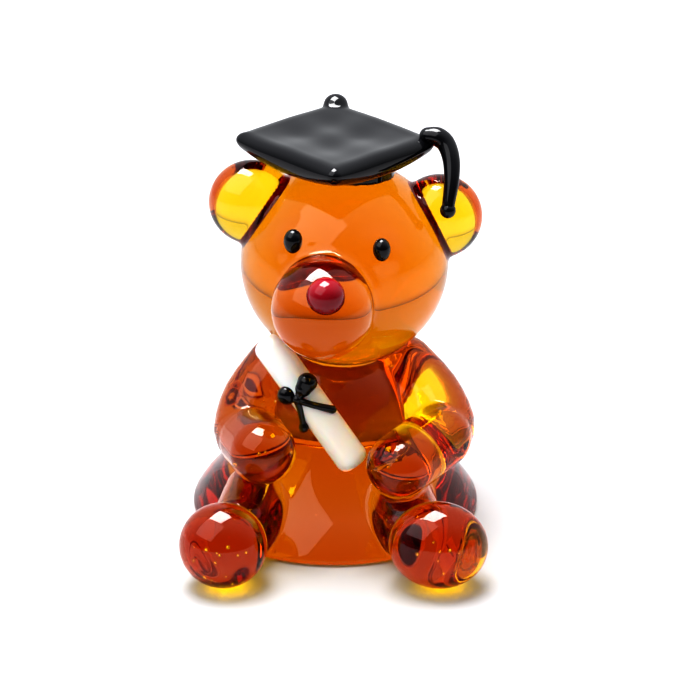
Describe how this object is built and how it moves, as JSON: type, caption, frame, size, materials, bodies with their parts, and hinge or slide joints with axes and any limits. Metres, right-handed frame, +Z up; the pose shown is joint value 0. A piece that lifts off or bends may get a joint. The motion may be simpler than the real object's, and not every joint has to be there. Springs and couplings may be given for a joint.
{
  "type": "glass teddy bear figurine",
  "caption": "Small solid glass ornament: a seated teddy bear with a red nose in a graduation cap with a tassel, holding a rolled diploma tied with a bow",
  "frame": {"origin": "middle of the whole figure's footprint is close to the origin; the origin itself is in the flat underside of the belly, on the surface the bear sits on", "axes": "+Z up, the bear faces -Y, the bear's left hand side is +X"},
  "size_m": [0.0434, 0.0528, 0.0594],
  "materials": {
    "amber_glass": "clear amber, fire polished",
    "black_glass": "opaque black, fire polished",
    "white_opal_glass": "opal white, fire polished",
    "red_glass": "translucent red, fire polished"
  },
  "bodies": {
    "root": {"belly": "amber_glass", "chest": "amber_glass", "head": "amber_glass", "muzzle": "amber_glass", "ear_left": "amber_glass", "ear_right": "amber_glass", "arm_left": "amber_glass", "arm_right": "amber_glass", "leg_left": "amber_glass", "leg_right": "amber_glass", "foot_left": "amber_glass", "foot_right": "amber_glass", "eye_left": "black_glass", "eye_right": "black_glass", "cap_board": "black_glass", "cap_band": "black_glass", "tassel_cord": "black_glass", "tassel_end": "black_glass", "ribbon_knot": "black_glass", "ribbon_loop_upper": "black_glass", "ribbon_loop_lower": "black_glass", "ribbon_tail_long": "black_glass", "ribbon_tail_short": "black_glass", "nose": "red_glass", "scroll": "white_opal_glass"}
  },
  "joints": []
}
